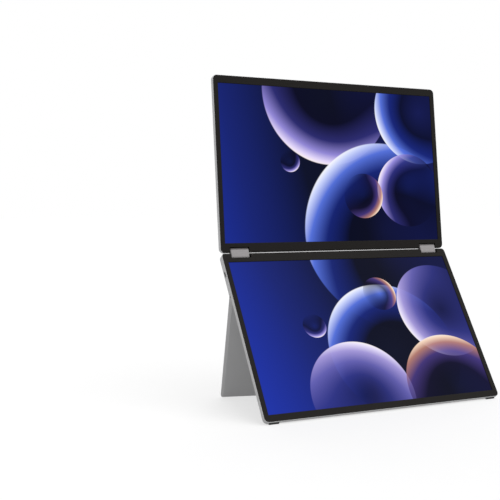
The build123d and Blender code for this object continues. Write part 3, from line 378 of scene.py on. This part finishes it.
def lit_display(name, node, lean, first_row):
    """Antireflective glass over its half of the picture, which runs on over both screens."""
    finish, tree, shader, place = new_finish(name, GLASS_ROUGHNESS, specular=GLASS_SPECULAR)
    shader.inputs["Base Color"].default_value = linear("#020203")
    split = add(tree, "ShaderNodeSeparateXYZ", {"Vector": place})
    across = add(tree, "ShaderNodeMapRange", {
        "Value": split.outputs["X"], "From Min": -ACTIVE_WIDTH / 2, "From Max": ACTIVE_WIDTH / 2,
        "To Min": 0.0, "To Max": ACTIVE_WIDTH / ACTIVE_HEIGHT,
    }, clamp=False)
    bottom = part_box(node)[0][2] + DISPLAY_BORDER * cos(radians(lean))
    up = add(tree, "ShaderNodeMapRange", {
        "Value": split.outputs["Z"], "From Min": bottom,
        "From Max": bottom + ACTIVE_HEIGHT * cos(radians(lean)),
        "To Min": first_row, "To Max": first_row + 1.0,
    }, clamp=False)
    spot = add(tree, "ShaderNodeCombineXYZ", {
        "X": across.outputs[0], "Y": up.outputs[0],
    }).outputs[0]
    tilted = add(tree, "ShaderNodeMapping", {
        "Vector": spot, "Rotation": (0.0, 0.0, radians(NIGHT_TURN)),
        "Scale": (NIGHT_SCALE, NIGHT_SCALE, 1.0),
    })
    ground = add(tree, "ShaderNodeTexGradient", {"Vector": tilted.outputs[0]})
    night = add(tree, "ShaderNodeValToRGB", {"Fac": ground.outputs["Fac"]}, NIGHT)
    picture = night.outputs["Color"]
    for disc in DISCS:
        picture = lay_disc(tree, picture, spot, disc)
    tree.links.new(picture, shader.inputs["Emission Color"])
    shader.inputs["Emission Strength"].default_value = 1.0
    return finish


upper_picture = lit_display("display_glass_upper_lit", "upper_display", UPPER_LEAN, 1.0)
lower_picture = lit_display("display_glass_lower_lit", "lower_display", LOWER_LEAN, 0.0)

# Metal shells and plastic tongues of the ports, told by their names
port_shells = [node for node in frame["nodes"] if "_shell" in node]
port_tongues = [node for node in frame["nodes"] if "_tongue" in node]

node_finishes = {
    anodised_aluminium: ["lower_back_cover", "upper_back_cover", "stand_flap"],
    key_aluminium: ["power_button"],
    bezel_plastic: ["lower_bezel", "upper_bezel"],
    upper_picture: ["upper_display"],
    lower_picture: ["lower_display"],
    knuckle_paint: ["left_knuckle", "right_knuckle"],
    # The recess liner carries the painted shade of the recess
    recess_painted_shade: ["stand_recess_liner"],
    foot_rubber: ["rubber_feet", "stand_bumpers"],
    cap_plastic: ["left_knuckle_cap", "right_knuckle_cap", "stand_hinge_plug", "menu_rocker"],
    cable_sleeve: ["lower_screen_cable", "upper_screen_cable", "link_screen_cable"],
    plated_steel: [
        *port_shells, "lock_slot_plate", "lower_bracket_screws", "upper_bracket_screws",
        "main_board_screws", "upper_board_screws", "left_lower_bracket", "right_lower_bracket",
        "left_upper_bracket", "right_upper_bracket", "left_gear_plate", "right_gear_plate",
    ],
    ground_steel: [
        "stand_hinge_pins", "left_lower_shaft", "right_lower_shaft", "left_upper_shaft",
        "right_upper_shaft", "left_lower_idler", "right_lower_idler", "left_upper_idler",
        "right_upper_idler",
    ],
    friction_bronze: ["left_friction_sleeves", "right_friction_sleeves"],
    insert_brass: ["tripod_insert"],
    sheet_aluminium: ["lower_display_plate", "upper_display_plate"],
    circuit_board: ["main_board", "upper_driver_board"],
    chip_plastic: ["controller_chips", "side_switches", *port_tongues],
    socket_plastic: ["lower_board_sockets", "upper_board_sockets"],
    ribbon_film: ["lower_display_ribbon", "upper_display_ribbon"],
    light_pipe: ["indicator_light_pipes"],
}
for finish, nodes in node_finishes.items():
    for node in nodes:
        mesh = frame["nodes"][node].data
        mesh.materials.clear()
        mesh.materials.append(finish)

# Only the front of a display is lit
for node, lean in (("lower_display", LOWER_LEAN), ("upper_display", UPPER_LEAN)):
    front = Vector((0.0, -cos(radians(lean)), sin(radians(lean))))
    mesh = frame["nodes"][node].data
    mesh.materials.append(display_tape)
    for face in mesh.polygons:
        if face.normal.dot(front) < FRONT_LOOK:
            face.material_index = TAPE_FINISH

KNUCKLES = ("left_knuckle", "right_knuckle")
hinge_axis = {
    joint["name"]: Vector(joint["pos_m"]) for joint in frame["joints"] if joint["type"] == "hinge"
}

# Painted shade on the round upper ends and painted light on the rear of the knuckles, told by the
# way that their faces look
link_up = Vector((0.0, sin(radians(KNUCKLE_LEAN)), cos(radians(KNUCKLE_LEAN))))
link_front = Vector((0.0, -cos(radians(KNUCKLE_LEAN)), sin(radians(KNUCKLE_LEAN))))
for node in KNUCKLES:
    mesh = frame["nodes"][node].data
    mesh.materials.append(knuckle_painted_shade)
    mesh.materials.append(knuckle_painted_light)
    for face in mesh.polygons:
        if face.normal.dot(link_front) < -LEAST_LOOK:
            face.material_index = KNUCKLE_LIGHT_FINISH
        elif face.normal.dot(link_front) > 0.0 and face.normal.dot(link_up) > LEAST_LOOK:
            face.material_index = KNUCKLE_SHADE_FINISH

# Painted shade on the walls of the hinge notches, told by lying round a knuckle and not on the
# outside of the cover
for node, lean in (("lower_back_cover", LOWER_LEAN), ("upper_back_cover", UPPER_LEAN)):
    outward = Vector((0.0, cos(radians(lean)), -sin(radians(lean))))
    mesh = frame["nodes"][node].data
    mesh.materials.append(notch_painted_shade)
    for knuckle in KNUCKLES:
        low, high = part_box(knuckle)
        for face in mesh.polygons:
            near = all(
                low[way] - NOTCH_REACH[way] < face.center[way] < high[way] + NOTCH_REACH[way]
                for way in range(3)
            )
            if near and abs(face.normal.dot(outward)) < NOTCH_SQUARE:
                face.material_index = NOTCH_SHADE_FINISH

# Painted shade in the pin hole above the tripod insert, told by lying round its middle
low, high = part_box("tripod_insert")
up_lower = Vector((0.0, sin(radians(LOWER_LEAN)), cos(radians(LOWER_LEAN))))
pin_hole = (Vector(low) + Vector(high)) / 2 + PIN_HOLE_RISE * up_lower
for face in frame["nodes"]["lower_back_cover"].data.polygons:
    away = face.center - pin_hole
    if max(abs(away.x), abs(away.dot(up_lower))) < PIN_HOLE_RADIUS:
        face.material_index = NOTCH_SHADE_FINISH


def notch_seal(name, body, axis, knuckle, lean, inward):
    """Dark seal on a notch's end wall, in the notches' painted shade, hollowed to clear the
    knuckle's round end.
    """
    up_panel = inward * Vector((0.0, sin(radians(lean)), cos(radians(lean))))
    into_panel = Vector((0.0, cos(radians(lean)), -sin(radians(lean))))
    section = []
    sweep = SEAL_FRONT_ANGLE + SEAL_REAR_ANGLE
    for step in range(SEAL_STEPS + 1):
        turn = radians(sweep * step / SEAL_STEPS - SEAL_FRONT_ANGLE)
        section.append(SEAL_RADIUS * (sin(turn) * into_panel + cos(turn) * up_panel))
    for turn in (SEAL_REAR_ANGLE, -SEAL_FRONT_ANGLE):
        section.append(SEAL_BACK * up_panel + SEAL_RADIUS * sin(radians(turn)) * into_panel)
    low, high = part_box(knuckle)
    shape = bmesh.new()
    ends = []
    for across in (low[0] - SEAL_SIDE, high[0] + SEAL_SIDE):
        middle = Vector((across, axis.y, axis.z))
        ends.append([shape.verts.new(middle + point) for point in section])
        shape.faces.new(ends[-1])
    for place in range(len(section)):
        after = (place + 1) % len(section)
        shape.faces.new((ends[0][place], ends[0][after], ends[1][after], ends[1][place]))
    bmesh.ops.recalc_face_normals(shape, faces=shape.faces)
    mesh = bpy.data.meshes.new(name)
    shape.to_mesh(mesh)
    shape.free()
    mesh.materials.append(notch_painted_shade)
    seal = bpy.data.objects.new(name, mesh)
    bpy.context.collection.objects.link(seal)
    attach(seal, body)


for side, knuckle in zip(("left", "right"), KNUCKLES):
    notch_seal(
        f"{side}_upper_notch_seal", "upper_screen", hinge_axis["upper_hinge"],
        knuckle, UPPER_LEAN, inward=1,
    )
    notch_seal(
        f"{side}_lower_notch_seal", "lower_screen", hinge_axis["lower_hinge"],
        knuckle, LOWER_LEAN, inward=-1,
    )


def seen_directly(tree):
    """One for camera, glossy and transmission rays, which see the plain white."""
    rays = add(tree, "ShaderNodeLightPath")
    seen = add(tree, "ShaderNodeMath", {
        0: rays.outputs["Is Camera Ray"], 1: rays.outputs["Is Glossy Ray"],
    }, operation="MAXIMUM")
    return add(tree, "ShaderNodeMath", {
        0: seen.outputs[0], 1: rays.outputs["Is Transmission Ray"],
    }, operation="MAXIMUM").outputs[0]


def add_lamp(name, energy, turn):
    """Broad soft lamp, far off."""
    lamp = bpy.data.objects.new(name, bpy.data.lights.new(name, "SUN"))
    bpy.context.collection.objects.link(lamp)
    lamp.data.energy = energy
    lamp.data.angle = radians(LAMP_SPREAD)
    lamp.rotation_euler = [radians(way) for way in turn]


# White world, grey floor that looks white and keeps the shadow, a main lamp and a weak back lamp
world = bpy.data.worlds.new("studio")
bpy.context.scene.world = world
world.use_nodes = True
sky = world.node_tree
sky.nodes.clear()
fill = add(sky, "ShaderNodeBackground", {"Color": linear("#ffffff"), "Strength": FILL_LIGHT})
white = add(sky, "ShaderNodeBackground", {"Color": linear("#ffffff"), "Strength": SEEN_WHITE})
both = add(sky, "ShaderNodeMixShader", {
    0: seen_directly(sky), 1: fill.outputs[0], 2: white.outputs[0],
})
add(sky, "ShaderNodeOutputWorld", {"Surface": both.outputs[0]})

bpy.ops.mesh.primitive_plane_add(size=FLOOR_SIZE, location=(0.0, 0.0, -FLOOR_DROP))
floor = bpy.context.object
floor.name = "studio_floor"
floor_paper = grained_finish(
    "floor_paper_matte", "#9f9f9f", "#a5a5a5",
    roughness=0.9, grain_mm=2.0, bump=0.02, specular=0.0,
)
paper = floor_paper.node_tree
lift = add(paper, "ShaderNodeMath", {0: seen_directly(paper), 1: FLOOR_LIFT}, operation="MULTIPLY")
paper_shader = paper.nodes["Principled BSDF"]
paper_shader.inputs["Emission Color"].default_value = linear("#ffffff")
paper.links.new(lift.outputs[0], paper_shader.inputs["Emission Strength"])
floor.data.materials.append(floor_paper)

add_lamp("main_lamp", *MAIN_LAMP)
add_lamp("back_lamp", *BACK_LAMP)

camera = bpy.data.objects.new("photo_camera", bpy.data.cameras.new("photo_camera"))
bpy.context.collection.objects.link(camera)
camera.location = CAMERA_PLACE
camera.rotation_euler = [radians(turn) for turn in CAMERA_TURN]
camera.data.lens = CAMERA_LENS
camera.data.sensor_width = CAMERA_SENSOR
camera.data.shift_x, camera.data.shift_y = CAMERA_SHIFT
camera.data.clip_start = CAMERA_NEAR
bpy.context.scene.camera = camera
bpy.context.scene.view_settings.view_transform = "Standard"
